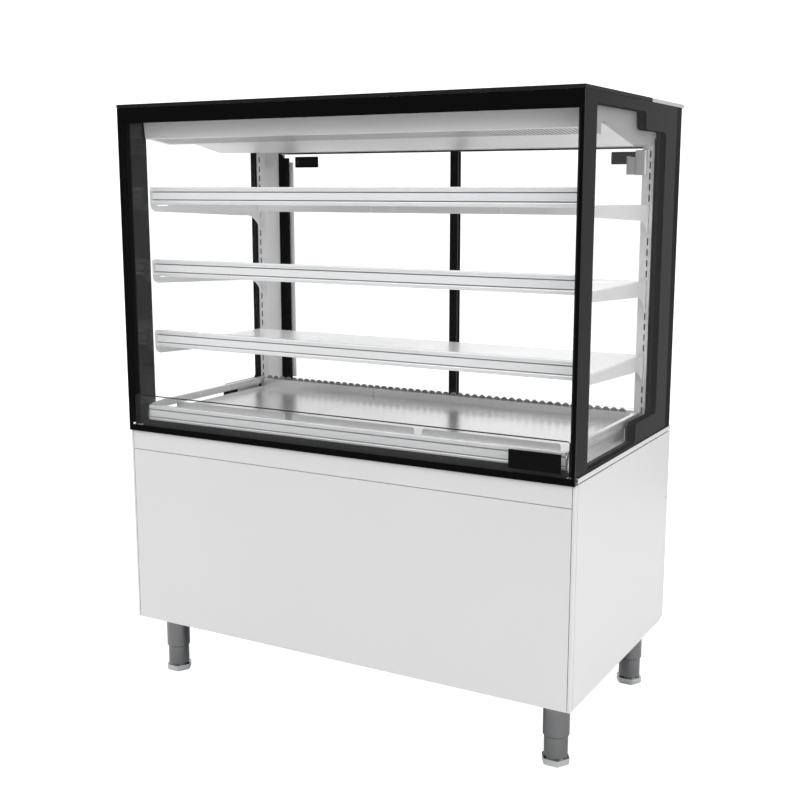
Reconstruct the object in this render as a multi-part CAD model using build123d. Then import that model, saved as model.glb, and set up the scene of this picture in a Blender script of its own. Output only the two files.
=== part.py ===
from build123d import *
import math
import os

# Hot food display case: a glazed, shelved warming cabinet on a closed base with four levelling feet.
# Millimetres.  +X is the customer's right, -Y is the customer side, +Z is up.
# The origin is on the floor, under the middle of the case.

# ---------------------------------------------------------------- driving dimensions

HALF_WIDTH = 600.0
CASE_TOP_Z = 1460.0
CASE_FRONT_Y = -334.0
CASE_REAR_Y = 334.0

# Base cabinet
BODY_FRONT_Y = -328.0
BODY_REAR_Y = 307.0
BODY_FLOOR_Z = 160.5
BODY_TOP_Z = 657.5
FASCIA_SPLIT_Z = 609.0
REAR_SPLIT_Z = 487.0
REAR_PANEL_Y = 330.0
SHEET = 1.5
PANEL_RETURN = 11.0
CORNER_TRIM_WIDTH = 6.5
CORNER_TRIM_DEPTH = 12.0
PANEL_GAP = 1.6

# Legs
LEG_X = 538.0
LEG_FRONT_Y = -246.0
LEG_REAR_Y = 260.0
LEG_TUBE_RADIUS = 30.0
LEG_TUBE_BORE = 27.05
LEG_TUBE_LOW_Z = 66.0
FOOT_SHANK_RADIUS = 27.0
FOOT_HEX_FLATS = 58.0
FOOT_HEX_HEIGHT = 15.0

# Deck and its rails
RAIL_LOW_Z = 661.0
RAIL_TOP_Z = 671.0
RAIL_INNER_X = 574.5
DECK_Z = 703.5
TRAY_SHEET = 1.2
TRAY_FRONT_Y = -234.0
TRAY_REAR_Y = 172.0
TRAY_HALF_SPAN = 543.5
TRAY_LIP_HALF_SPAN = 527.0
TRAY_SPLIT_X = 179.0
TRAY_LIP_TOP_Z = 722.0
TRAY_BACK_TOP_Z = 725.0
DECK_SIDE_X = 547.0
DECK_FLANGE_X = 578.5
LEDGE_TOP_Z = 702.4
SCALLOP_BASE_Z = 724.0
SCALLOP_RADIUS = 9.9
LEDGE_REAR_Y = 277.5
LEDGE_HALF_SPAN = 545.0
AIR_HOLE_PITCH = 21.0
AIR_HOLE_WIDTH = 16.0
AIR_HOLE_FRONT_Y = 176.0
AIR_HOLE_REAR_Y = 197.0

# Glass
FRONT_GLASS = 6.0
FRONT_GLASS_HALF = 599.0
FRONT_GLASS_LOW_Z = 658.0
SIDE_GLASS_LOW_Z = 675.5
GLASS_TOP_Z = 1451.5
SIDE_OUTER_X = (593.0, 599.0)
SIDE_INNER_X = (579.0, 583.0)
SIDE_GLASS_Y = (-327.5, 285.0)
INNER_GLASS_FRONT_Y = -311.5
GUARD_HALF = 584.0

# Roof and canopy
ROOF_PLATE = 8.0
ROOF_PLATE_REAR_Y = 86.0
CANOPY_HALF = 574.0
CANOPY_FRONT_Y = -266.0
CANOPY_FRONT_Z = 1418.0
CANOPY_LIP_Y = -262.0
CANOPY_LIP_Z = 1381.8
STRIP_REAR_Y = -174.5
STRIP_REAR_Z = 1369.5
CEILING_FRONT_Z = 1396.2
CEILING_REAR_Y = 45.0
CEILING_REAR_Z = 1354.0
AIR_SLOT_PITCH = 10.0
AIR_SLOT_WIDTH = 5.0

# Rear frame and doors
POST_X = (546.0, 574.0)
POST_Y = (197.0, 217.0)
POST_TOP_Z = 1374.0
SLOT_X = 565.0
SLOT_WIDTH = 3.5
SLOT_LENGTH = 15.5
SLOT_PITCH = 25.5
TOP_SLOT_Z = 1340.0
SLOT_COUNT = 25
HEADER_Y = (276.0, 319.0)
HEADER_LOW_Z = 1360.0
HEADER_HALF = 549.5
JAMB_X = (550.0, 579.5)
REAR_CORNER_Y = (285.5, 322.0)
REAR_CORNER_X = 599.0
SILL_LOW_Z = 690.0
SILL_RAIL_TOP_Z = 701.8
DOOR_GLASS = 5.0
DOOR_STILE_WIDTH = 15.0
LAP_STILE_WIDTH = 22.0
DOOR_STILE_DEPTH = 9.0
DOOR_STILE_TOP_Z = 1347.0
LAP_STILE_TOP_Z = 1356.5
DOOR_GLASS_TOP_Z = 1374.0
DOOR_LOW_Z = 709.0
LEFT_DOOR_Y = 297.0
RIGHT_DOOR_Y = 308.0
DOOR_OUTER_X = 549.0
DOOR_LAP_X = 11.0
PULL_STRIP_WIDTH = 12.5

# Shelves
SHELF_TOPS = [1223.0 - tier * 7 * SLOT_PITCH for tier in range(3)]
SHELF_FRONT_Y = -251.5
SHELF_REAR_Y = 182.0
SHELF_HALF_SPAN = 563.0
SHELF_SPLIT_X = 190.0
SHELF_LIP = 26.0
BRACKET_X = (564.0, 566.0)
RAIL_FRONT_Y = -260.0
RAIL_HEIGHT = 42.0
RAIL_DROP = 1.0
BASE_RAIL_FRONT_Y = -298.0
BASE_RAIL_LOW_Z = 678.0

# Heating unit under the deck
WELL_HALF_SPAN = 544.0
WELL_Y = (-262.0, 276.0)
WELL_LOW_Z = 560.0
FAN_RADIUS = 90.0
FAN_SHAFT_RADIUS = 5.0
FAN_SHAFT_CLEARANCE = 0.05
MOTOR_RADIUS = 45.0


# ---------------------------------------------------------------- shape helpers

def block(x_range, y_range, z_range):
    """A rectangular block between two corners."""
    size = [high - low for low, high in (x_range, y_range, z_range)]
    centre = [(high + low) / 2 for low, high in (x_range, y_range, z_range)]
    return Pos(*centre) * Box(*size)


def flipped(shape):
    """The same shape on the other side of the middle plane."""
    return mirror(shape, about=Plane.YZ)


def both_sides(shape):
    """The shape and its mirror image, as separate solids."""
    return [shape, flipped(shape)]


def extrude_along_x(outline, x_low, x_high):
    """A closed outline of (y, z) points, made solid between two x planes."""
    points = [(x_low, y, z) for y, z in outline]
    return extrude(make_face(Polyline(*points, close=True)), amount=x_high - x_low, dir=(1, 0, 0))


def folded_panel(x_range, face_y, depth, z_range, thickness=SHEET):
    """A flat panel with its four edges folded back by depth; a negative depth folds towards -y."""
    low_y, high_y = sorted((face_y, face_y + depth))
    inner_x = (x_range[0] + thickness, x_range[1] - thickness)
    inner_z = (z_range[0] + thickness, z_range[1] - thickness)
    if depth > 0:
        hollow = block(inner_x, (low_y + thickness, high_y + 1), inner_z)
    else:
        hollow = block(inner_x, (low_y - 1, high_y - thickness), inner_z)
    return block(x_range, (low_y, high_y), z_range) - hollow


def as_node(shapes):
    """One compound of separate solids, from a shape or a list of shapes."""
    if not isinstance(shapes, list):
        shapes = [shapes]
    return Compound(children=[solid for shape in shapes for solid in shape.solids()])


# ---------------------------------------------------------------- legs

def leg_positions():
    return {
        "front_left": (-LEG_X, LEG_FRONT_Y),
        "front_right": (LEG_X, LEG_FRONT_Y),
        "rear_left": (-LEG_X, LEG_REAR_Y),
        "rear_right": (LEG_X, LEG_REAR_Y),
    }


def leg_tube(x, y):
    """Fixed upper tube with a mounting flange and a tapered lower end."""
    flange = 3.0
    tube_height = BODY_FLOOR_Z - flange - LEG_TUBE_LOW_Z
    tube = Pos(x, y, LEG_TUBE_LOW_Z + tube_height / 2) * Cylinder(LEG_TUBE_RADIUS, tube_height)
    tube = chamfer(tube.edges().group_by(Axis.Z)[0], 2.5)
    plate = Pos(x, y, BODY_FLOOR_Z - flange / 2) * Cylinder(LEG_TUBE_RADIUS + 10, flange)
    bore = Pos(x, y, LEG_TUBE_LOW_Z + tube_height / 2) * Cylinder(LEG_TUBE_BORE, tube_height)
    return tube + plate - bore


def levelling_foot(x, y):
    """Shank that slides up into the leg tube, on a hexagonal pad with a turned groove above it."""
    shank_top = BODY_FLOOR_Z - 40
    groove = 3.0
    pad_radius = FOOT_HEX_FLATS / 2 / math.cos(math.pi / 6)
    hexagon = RegularPolygon(pad_radius, 6)
    pad = Pos(x, y, 0) * extrude(hexagon, FOOT_HEX_HEIGHT)
    pad = pad & (Pos(x, y, FOOT_HEX_HEIGHT / 2) * Cylinder(pad_radius - 1.2, FOOT_HEX_HEIGHT))
    pad = chamfer(pad.edges().group_by(Axis.Z)[0], 1.5)
    neck = Pos(x, y, FOOT_HEX_HEIGHT + groove / 2) * Cylinder(FOOT_SHANK_RADIUS - 1.5, groove)
    shank_low = FOOT_HEX_HEIGHT + groove
    shank = Pos(x, y, (shank_low + shank_top) / 2) * Cylinder(FOOT_SHANK_RADIUS, shank_top - shank_low)
    shank = chamfer(shank.edges().group_by(Axis.Z)[0], 1.0)
    hollow_low = shank_low + 6
    hollow = Pos(x, y, (hollow_low + shank_top) / 2) * Cylinder(FOOT_SHANK_RADIUS - 2, shank_top - hollow_low)
    return pad + neck + shank - hollow


# ---------------------------------------------------------------- base cabinet

ANGLE_LEG = 30.0
ANGLE_THICKNESS = 3.0
FRAME_X = 590.0
FRAME_FRONT_Y = -312.0
FRAME_REAR_Y = 304.0


def angle_bar_x(y_range, z_range, web_at_front):
    """Angle bar running across the case, with its upright leg at the front or at the rear."""
    span = (-FRAME_X, FRAME_X)
    flat = block(span, y_range, (z_range[0], z_range[0] + ANGLE_THICKNESS))
    if web_at_front:
        return flat + block(span, (y_range[0], y_range[0] + ANGLE_THICKNESS), z_range)
    return flat + block(span, (y_range[1] - ANGLE_THICKNESS, y_range[1]), z_range)


def base_frame():
    """Welded frame of angle bar: two rings, four corner posts and a rail behind the rear split."""
    low = (BODY_FLOOR_Z + 2, BODY_FLOOR_Z + 2 + ANGLE_LEG)
    high = (RAIL_LOW_Z - ANGLE_LEG - 0.5, RAIL_LOW_Z - 0.5)
    split = (REAR_SPLIT_Z - ANGLE_LEG / 2, REAR_SPLIT_Z + ANGLE_LEG / 2)
    front_y = (FRAME_FRONT_Y, FRAME_FRONT_Y + ANGLE_LEG)
    rear_y = (FRAME_REAR_Y - ANGLE_LEG + 5, FRAME_REAR_Y)
    bars = [angle_bar_x(front_y, ring, True) for ring in (low, high)]
    bars += [angle_bar_x(rear_y, ring, False) for ring in (low, high, split)]
    inner_x = FRAME_X - ANGLE_LEG
    for ring in (low, high):
        flat = block((inner_x, FRAME_X), (FRAME_FRONT_Y, FRAME_REAR_Y), (ring[0], ring[0] + ANGLE_THICKNESS))
        web = block((FRAME_X - ANGLE_THICKNESS, FRAME_X), (FRAME_FRONT_Y, FRAME_REAR_Y), ring)
        bars += both_sides(flat + web)
    upright_z = (low[0], high[1])
    for y_range, web_y in (
        (front_y, (front_y[0], front_y[0] + ANGLE_THICKNESS)),
        (rear_y, (rear_y[1] - ANGLE_THICKNESS, rear_y[1])),
    ):
        web = block((inner_x, FRAME_X), web_y, upright_z)
        side = block((FRAME_X - ANGLE_THICKNESS, FRAME_X), y_range, upright_z)
        bars += both_sides(web + side)
    frame = bars[0]
    for bar in bars[1:]:
        frame = frame + bar
    return frame


def cabinet_floor():
    """Floor sheet that closes the cabinet from below, on top of the leg flanges."""
    return block((-HALF_WIDTH + 9, HALF_WIDTH - 9), (FRAME_FRONT_Y, BODY_REAR_Y - 1),
                 (BODY_FLOOR_Z + 0.2, BODY_FLOOR_Z + 0.2 + SHEET))


FRONT_PANEL_HALF = HALF_WIDTH - CORNER_TRIM_WIDTH - PANEL_GAP


def front_panel():
    z_range = (BODY_FLOOR_Z, FASCIA_SPLIT_Z - PANEL_GAP / 2)
    return folded_panel((-FRONT_PANEL_HALF, FRONT_PANEL_HALF), BODY_FRONT_Y, PANEL_RETURN, z_range)


def front_fascia():
    z_range = (FASCIA_SPLIT_Z + PANEL_GAP / 2, BODY_TOP_Z)
    return folded_panel((-FRONT_PANEL_HALF, FRONT_PANEL_HALF), BODY_FRONT_Y, PANEL_RETURN, z_range)


def corner_trim():
    """Right front corner: an upright folded edge with a rounded outer corner."""
    trim = block((HALF_WIDTH - CORNER_TRIM_WIDTH, HALF_WIDTH),
                 (BODY_FRONT_Y, BODY_FRONT_Y + CORNER_TRIM_DEPTH), (BODY_FLOOR_Z, BODY_TOP_Z))
    outer_edge = trim.edges().filter_by(Axis.Z).sort_by(lambda edge: edge.center().X - edge.center().Y)[-1]
    trim = fillet(outer_edge, 3.0)
    hollow = block((HALF_WIDTH - CORNER_TRIM_WIDTH - 1, HALF_WIDTH - 2 * SHEET),
                   (BODY_FRONT_Y + 2 * SHEET, BODY_FRONT_Y + CORNER_TRIM_DEPTH + 1),
                   (BODY_FLOOR_Z - 1, BODY_TOP_Z + 1))
    return trim - hollow


def side_panel():
    """Right side panel, with its edges folded inwards."""
    y_range = (BODY_FRONT_Y + CORNER_TRIM_DEPTH + PANEL_GAP, BODY_REAR_Y)
    z_range = (BODY_FLOOR_Z, BODY_TOP_Z)
    outer = block((HALF_WIDTH - 9, HALF_WIDTH), y_range, z_range)
    hollow = block((HALF_WIDTH - 10, HALF_WIDTH - SHEET),
                   (y_range[0] + SHEET, y_range[1] - SHEET), (z_range[0] + SHEET, z_range[1] - SHEET))
    return outer - hollow


REAR_PANEL_HALF = HALF_WIDTH - 0.5
REAR_PANEL_GAP = 2.0
REAR_PANEL_RETURN = -(REAR_PANEL_Y - BODY_REAR_Y - REAR_PANEL_GAP)
CONTROL_X = -430.0
CONTROL_Z = 575.0
DISPLAY_WIDTH = 76.0
DISPLAY_HEIGHT = 34.0
ROCKER_WIDTH = 21.0
ROCKER_HEIGHT = 30.0
ROCKER_SPACING = 45.0
ROCKER_XS = [CONTROL_X + 75 + side * ROCKER_SPACING for side in (0, 1)]
COVER_SCREW_RADIUS = 4.5


def rear_control_fascia():
    """Upper rear cover, with cut-outs for the temperature controller and two rocker switches."""
    z_range = (REAR_SPLIT_Z + 1, BODY_TOP_Z)
    panel = folded_panel((-REAR_PANEL_HALF, REAR_PANEL_HALF), REAR_PANEL_Y, REAR_PANEL_RETURN, z_range)
    cut_y = (REAR_PANEL_Y - 5, REAR_PANEL_Y + 1)
    panel = panel - block((CONTROL_X - DISPLAY_WIDTH / 2, CONTROL_X + DISPLAY_WIDTH / 2), cut_y,
                          (CONTROL_Z - DISPLAY_HEIGHT / 2, CONTROL_Z + DISPLAY_HEIGHT / 2))
    for x in ROCKER_XS:
        panel = panel - block((x - ROCKER_WIDTH / 2 - 1, x + ROCKER_WIDTH / 2 + 1), cut_y,
                              (CONTROL_Z - ROCKER_HEIGHT / 2 - 1, CONTROL_Z + ROCKER_HEIGHT / 2 + 1))
    return panel


def rear_service_panel():
    """Lower rear cover, with two groups of cooling louvres."""
    z_range = (BODY_FLOOR_Z + 4, REAR_SPLIT_Z - 1)
    panel = folded_panel((-REAR_PANEL_HALF, REAR_PANEL_HALF), REAR_PANEL_Y, REAR_PANEL_RETURN, z_range)
    louvre_pitch = 14.0
    louvres = []
    for centre_x in (-330.0, 330.0):
        for row in range(8):
            z = 300 + row * louvre_pitch
            louvres.append(block((centre_x - 90, centre_x + 90), (REAR_PANEL_Y - 5, REAR_PANEL_Y + 1), (z, z + 5)))
    for louvre in louvres:
        panel = panel - louvre
    return panel


def cover_screws():
    """Pan-head screws that hold the two rear covers."""
    screws = []
    for z in (BODY_FLOOR_Z + 30, REAR_SPLIT_Z - 30, REAR_SPLIT_Z + 30, BODY_TOP_Z - 30):
        for x in (-560.0, 0.0, 560.0):
            head = Pos(x, REAR_PANEL_Y + 1.1, z) * Rot(-90, 0, 0) * Cylinder(COVER_SCREW_RADIUS, 2.2)
            head = fillet(head.edges().group_by(Axis.Y)[-1], 1.2)
            recess_y = (REAR_PANEL_Y + 1.1, REAR_PANEL_Y + 3)
            level_arm = block((x - 2.6, x + 2.6), recess_y, (z - 0.5, z + 0.5))
            upright_arm = block((x - 0.5, x + 0.5), recess_y, (z - 2.6, z + 2.6))
            screws.append(head - level_arm - upright_arm)
    return screws


def controller_body():
    """Temperature controller: a flanged display face with its case behind the fascia."""
    face = block((CONTROL_X - DISPLAY_WIDTH / 2 - 4, CONTROL_X + DISPLAY_WIDTH / 2 + 4),
                 (REAR_PANEL_Y, REAR_PANEL_Y + 4),
                 (CONTROL_Z - DISPLAY_HEIGHT / 2 - 4, CONTROL_Z + DISPLAY_HEIGHT / 2 + 4))
    face = fillet(face.edges().filter_by(Axis.Y), 3.0)
    case = block((CONTROL_X - DISPLAY_WIDTH / 2 + 0.5, CONTROL_X + DISPLAY_WIDTH / 2 - 0.5),
                 (REAR_PANEL_Y - 18, REAR_PANEL_Y),
                 (CONTROL_Z - DISPLAY_HEIGHT / 2 + 0.5, CONTROL_Z + DISPLAY_HEIGHT / 2 - 0.5))
    recess = block((CONTROL_X - 30, CONTROL_X + 14), (REAR_PANEL_Y + 3, REAR_PANEL_Y + 5),
                   (CONTROL_Z - 12, CONTROL_Z + 12))
    return face + case - recess


ROCKER_PIVOT_Y = REAR_PANEL_Y - 2.0


def rocker_switch(x):
    """Rocker of a switch, hinged on a line across it just behind the panel's face."""
    half = ROCKER_HEIGHT / 2
    outline = [
        (ROCKER_PIVOT_Y - 6, CONTROL_Z - 5),
        (ROCKER_PIVOT_Y + 2.5, CONTROL_Z - half),
        (ROCKER_PIVOT_Y + 6.5, CONTROL_Z - half),
        (ROCKER_PIVOT_Y + 4.2, CONTROL_Z),
        (ROCKER_PIVOT_Y + 6.5, CONTROL_Z + half),
        (ROCKER_PIVOT_Y + 2.5, CONTROL_Z + half),
        (ROCKER_PIVOT_Y - 6, CONTROL_Z + 5),
    ]
    return extrude_along_x(outline, x - ROCKER_WIDTH / 2 + 1, x + ROCKER_WIDTH / 2 - 1)


# ---------------------------------------------------------------- deck

def deck_rails():
    """Folded rails that carry the side glass, and the rear beam under the door track."""
    y_range = (BODY_FRONT_Y + CORNER_TRIM_DEPTH, REAR_PANEL_Y)
    outer = block((RAIL_INNER_X, HALF_WIDTH), y_range, (RAIL_LOW_Z, RAIL_TOP_Z))
    hollow = block((RAIL_INNER_X - 1, HALF_WIDTH - SHEET), (y_range[0] - 1, y_range[1] + 1),
                   (RAIL_LOW_Z + SHEET, RAIL_TOP_Z - SHEET))
    beam_y = (HEADER_Y[0] + 2, HEADER_Y[1])
    beam_z = (RAIL_LOW_Z, SILL_LOW_Z - 0.1)
    beam = block((-RAIL_INNER_X + 0.1, RAIL_INNER_X - 0.1), beam_y, beam_z)
    beam_hollow = block((-HALF_WIDTH, HALF_WIDTH), (beam_y[0] - 1, beam_y[1] - SHEET),
                        (beam_z[0] + SHEET, beam_z[1] - SHEET))
    return both_sides(outer - hollow) + [beam - beam_hollow]


def front_inner_panel():
    """Dark upstand behind the foot of the front glass."""
    upstand = block((-RAIL_INNER_X + 0.5, RAIL_INNER_X - 0.5), (-310.0, -308.5), (RAIL_LOW_Z, 684.5))
    foot = block((-RAIL_INNER_X + 0.5, RAIL_INNER_X - 0.5), (-327.0, -310.0), (RAIL_LOW_Z, RAIL_LOW_Z + SHEET))
    return upstand + foot


def deck_plate():
    """Plate that the trays rest on, open under each tray; its sides fold down and out to rest on the deck rails."""
    z_range = (DECK_Z - TRAY_SHEET - SHEET, DECK_Z - TRAY_SHEET)
    y_range = (-284.0, TRAY_REAR_Y + 0.5)
    plate = block((-DECK_SIDE_X, DECK_SIDE_X), y_range, z_range)
    margin = 14.0
    edges = [-TRAY_HALF_SPAN, -TRAY_SPLIT_X, TRAY_SPLIT_X, TRAY_HALF_SPAN]
    for left, right in zip(edges, edges[1:]):
        plate = plate - block((left + margin, right - margin),
                              (TRAY_FRONT_Y + margin, TRAY_REAR_Y - margin),
                              (z_range[0] - 1, z_range[1] + 1))
    fold = block((-DECK_SIDE_X, DECK_SIDE_X), (y_range[0], y_range[0] + SHEET), (z_range[0] - 22, z_range[0]))
    side = block((DECK_SIDE_X - SHEET, DECK_SIDE_X), y_range, (RAIL_TOP_Z, z_range[1]))
    flange = block((DECK_SIDE_X - SHEET, DECK_FLANGE_X), y_range, (RAIL_TOP_Z, RAIL_TOP_Z + SHEET))
    return plate + fold + side + flange + flipped(side) + flipped(flange)


def tray(x_range):
    """Lift-out tray: a flat floor, a raised back and a lower front lip with rounded ends."""
    floor = block(x_range, (TRAY_FRONT_Y, TRAY_REAR_Y), (DECK_Z - TRAY_SHEET, DECK_Z))
    back = block(x_range, (TRAY_REAR_Y - TRAY_SHEET, TRAY_REAR_Y), (DECK_Z, TRAY_BACK_TOP_Z))
    lip_inset = 10.0
    lip_left = max(x_range[0] + lip_inset, -TRAY_LIP_HALF_SPAN)
    lip_right = min(x_range[1] - lip_inset, TRAY_LIP_HALF_SPAN)
    lip = block((lip_left, lip_right), (TRAY_FRONT_Y, TRAY_FRONT_Y + TRAY_SHEET), (DECK_Z, TRAY_LIP_TOP_Z))
    lip = fillet(lip.edges().filter_by(Axis.Y).group_by(Axis.Z)[-1], 6.0)
    return floor + back + lip


def tray_ranges():
    gap = 0.5
    return {
        "left": (-TRAY_HALF_SPAN, -TRAY_SPLIT_X - gap),
        "centre": (-TRAY_SPLIT_X + gap, TRAY_SPLIT_X - gap),
        "right": (TRAY_SPLIT_X + gap, TRAY_HALF_SPAN),
    }


def air_ledge():
    """Rear ledge with a row of round-ended holes that warm air rises through, behind a scalloped upstand."""
    z_range = (LEDGE_TOP_Z - SHEET, LEDGE_TOP_Z)
    front_y = TRAY_REAR_Y + 1
    ledge = block((-LEDGE_HALF_SPAN, LEDGE_HALF_SPAN), (front_y, LEDGE_REAR_Y), z_range)
    hole_count = 51
    first_x = -(hole_count - 1) / 2 * AIR_HOLE_PITCH
    hole_places = [first_x + index * AIR_HOLE_PITCH for index in range(hole_count)]
    hole = SlotOverall(AIR_HOLE_REAR_Y - AIR_HOLE_FRONT_Y, AIR_HOLE_WIDTH, rotation=90)
    middle_y = (AIR_HOLE_FRONT_Y + AIR_HOLE_REAR_Y) / 2
    holes = Sketch() + [Pos(x, middle_y) * hole for x in hole_places]
    cutter = Pos(0, 0, z_range[0] - 1) * extrude(holes, SHEET + 2)
    upstand = block((-LEDGE_HALF_SPAN, LEDGE_HALF_SPAN), (front_y, front_y + SHEET), (z_range[0], SCALLOP_BASE_Z))
    discs = Sketch() + [Pos(x, SCALLOP_BASE_Z) * Circle(SCALLOP_RADIUS) for x in hole_places]
    tabs = Pos(0, front_y + SHEET, 0) * extrude(Plane.XZ * discs, SHEET)
    return ledge - cutter + upstand + tabs


def front_guard():
    """Clear upstand just behind the front glass, with rounded upper corners."""
    guard = block((-GUARD_HALF, GUARD_HALF), (-326.0, -322.0), (RAIL_LOW_Z + SHEET, 750.0))
    return fillet(guard.edges().filter_by(Axis.Y).group_by(Axis.Z)[-1], 9.0)


def base_side_rail():
    """Right-hand end plate of the deck: a low side rail with a curved arm that holds the base ticket rail."""
    x = BRACKET_X[0]
    rear_y = POST_Y[0] - 0.5
    low = 706.0

    def point(y, z):
        return (x, y, z)

    edges = [
        Line(point(-298.0, BASE_RAIL_LOW_Z + 2), point(-298.0, 700.0)),
        ThreePointArc(point(-298.0, 700.0), point(-291.3, 716.3), point(-275.0, 723.0)),
        Line(point(-275.0, 723.0), point(-236.0, 726.0)),
        Line(point(-236.0, 726.0), point(rear_y, 726.0)),
        Line(point(rear_y, 726.0), point(rear_y, low)),
        Line(point(rear_y, low), point(-236.0, low)),
        Line(point(-236.0, low), point(-240.0, 710.5)),
        Line(point(-240.0, 710.5), point(-275.0, 709.0)),
        ThreePointArc(point(-275.0, 709.0), point(-285.0, 706.0), point(-290.0, 696.0)),
        Line(point(-290.0, 696.0), point(-290.0, BASE_RAIL_LOW_Z + 2)),
        Line(point(-290.0, BASE_RAIL_LOW_Z + 2), point(-298.0, BASE_RAIL_LOW_Z + 2)),
    ]
    plate = extrude(make_face(edges), amount=BRACKET_X[1] - x, dir=(1, 0, 0))
    for y in (-93.0, 42.0, 179.0):
        plate = plate - Pos(565.0, y, 716.5) * Rot(0, 90, 0) * Cylinder(2.2, 10)
    flange = block((x - 8.5, x), (-236.0, rear_y), (726.0 - TRAY_SHEET, 726.0))
    foot_low = RAIL_TOP_Z + SHEET + 0.1
    foot_y = (75.0, TRAY_REAR_Y)
    foot = block((x - 12, x), foot_y, (foot_low, foot_low + TRAY_SHEET))
    leg = block(BRACKET_X, foot_y, (foot_low, low))
    return plate + flange + foot + leg


# ---------------------------------------------------------------- heating unit

def heat_well():
    """Open-topped pan under the deck that holds the fan and the heating element."""
    outer = block((-WELL_HALF_SPAN, WELL_HALF_SPAN), WELL_Y, (WELL_LOW_Z, DECK_Z - TRAY_SHEET - SHEET))
    hollow = block((-WELL_HALF_SPAN + SHEET, WELL_HALF_SPAN - SHEET), (WELL_Y[0] + SHEET, WELL_Y[1] - SHEET),
                   (WELL_LOW_Z + SHEET, DECK_Z))
    shaft_hole = Pos(0, 0, WELL_LOW_Z) * Cylinder(FAN_SHAFT_RADIUS + 2, 10)
    return outer - hollow - shaft_hole


def fan_motor():
    """Motor under the well: a finned drum with a mounting plate and a bore for the shaft."""
    height = 62.0
    drum = Pos(0, 0, WELL_LOW_Z - 4 - height / 2) * Cylinder(MOTOR_RADIUS, height)
    plate = Pos(0, 0, WELL_LOW_Z - 2) * Box(130, 130, 4)
    plate = fillet(plate.edges().filter_by(Axis.Z), 12.0)
    grooves = [
        Pos(0, 0, WELL_LOW_Z - 14 - row * 9) * (Cylinder(MOTOR_RADIUS + 1, 3) - Cylinder(MOTOR_RADIUS - 4, 3))
        for row in range(6)
    ]
    motor = drum + plate
    for groove in grooves:
        motor = motor - groove
    bore_depth = 50.0
    bore = Pos(0, 0, WELL_LOW_Z - bore_depth / 2) * Cylinder(FAN_SHAFT_RADIUS + FAN_SHAFT_CLEARANCE, bore_depth)
    return motor - bore


def fan_rotor():
    """Radial impeller on its shaft: a disc, backward-leaning blades and a top ring."""
    disc_z = WELL_LOW_Z + 14
    blade_height = 46.0
    shaft_low = WELL_LOW_Z - 45
    shaft = Pos(0, 0, (shaft_low + disc_z) / 2) * Cylinder(FAN_SHAFT_RADIUS, disc_z - shaft_low)
    disc = Pos(0, 0, disc_z) * Cylinder(FAN_RADIUS, 2)
    hub = Pos(0, 0, disc_z + 10) * Cylinder(16, 20)
    ring_z = disc_z + blade_height
    ring = Pos(0, 0, ring_z) * (Cylinder(FAN_RADIUS, 2) - Cylinder(FAN_RADIUS - 26, 4))
    rotor = shaft + disc + hub + ring
    blade_count = 12
    for index in range(blade_count):
        blade = Pos(FAN_RADIUS - 17, 0, disc_z + blade_height / 2) * Rot(0, 0, 38) * Box(24, 1.6, blade_height)
        rotor = rotor + Rot(0, 0, index * 360 / blade_count) * blade
    return rotor


def heating_element():
    """Tubular element bent into an open ring around the fan, with both ends turned down through the pan."""
    ring_radius = 135.0
    tube_radius = 4.0
    element_z = WELL_LOW_Z + 38
    gap_angle = 8.0
    start = math.radians(gap_angle)
    first = Vector(ring_radius * math.cos(start), ring_radius * math.sin(start), element_z)
    last = Vector(ring_radius * math.cos(start), -ring_radius * math.sin(start), element_z)
    far = Vector(-ring_radius, 0, element_z)
    ring_path = ThreePointArc(first, far, last)
    profile = Plane(origin=first, z_dir=ring_path % 0) * Circle(tube_radius)
    ring = sweep(profile, path=ring_path)
    tail_low = WELL_LOW_Z + SHEET
    tails = [
        Pos(point.X, point.Y, (tail_low + element_z) / 2) * Cylinder(tube_radius, element_z - tail_low)
        for point in (first, last)
    ]
    knuckles = [Pos(point.X, point.Y, element_z) * Sphere(tube_radius) for point in (first, last)]
    return ring + tails + knuckles


def power_cord():
    """Flexible supply lead inside the base, from the controller to a gland in the cabinet floor."""
    radius = 4.5
    path = Spline(
        (CONTROL_X, REAR_PANEL_Y - 60, CONTROL_Z - 20),
        (CONTROL_X - 10, REAR_PANEL_Y - 90, 470),
        (CONTROL_X + 20, REAR_PANEL_Y - 70, 330),
        (CONTROL_X, REAR_PANEL_Y - 80, BODY_FLOOR_Z + 20),
        tangents=[(0, 0, -1), (0, 0, -1)],
    )
    lead = sweep(Plane(origin=path @ 0, z_dir=path % 0) * Circle(radius), path=path)
    gland = Pos(CONTROL_X, REAR_PANEL_Y - 80, BODY_FLOOR_Z + 11) * Cylinder(10, 18.4)
    return lead + gland


# ---------------------------------------------------------------- glass and roof

def front_glass():
    return block((-FRONT_GLASS_HALF, FRONT_GLASS_HALF), (CASE_FRONT_Y, CASE_FRONT_Y + FRONT_GLASS),
                 (FRONT_GLASS_LOW_Z, GLASS_TOP_Z))


def side_pane(x_range, front_y):
    return block(x_range, (front_y, SIDE_GLASS_Y[1]), (SIDE_GLASS_LOW_Z, GLASS_TOP_Z))


def glazing_spacer():
    """Closed frame between the two panes of the right side, on a setting strip along the rail."""
    width = 8.0
    x_range = (SIDE_INNER_X[1], SIDE_OUTER_X[0])
    y_range = (INNER_GLASS_FRONT_Y, SIDE_GLASS_Y[1])
    ring = block(x_range, y_range, (SIDE_GLASS_LOW_Z, GLASS_TOP_Z))
    hollow = block((x_range[0] - 1, x_range[1] + 1), (y_range[0] + width, y_range[1] - width),
                   (SIDE_GLASS_LOW_Z + width, GLASS_TOP_Z - width))
    seat = block((SIDE_INNER_X[0], SIDE_OUTER_X[1]), y_range, (RAIL_TOP_Z, SIDE_GLASS_LOW_Z))
    return ring - hollow + seat


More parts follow.
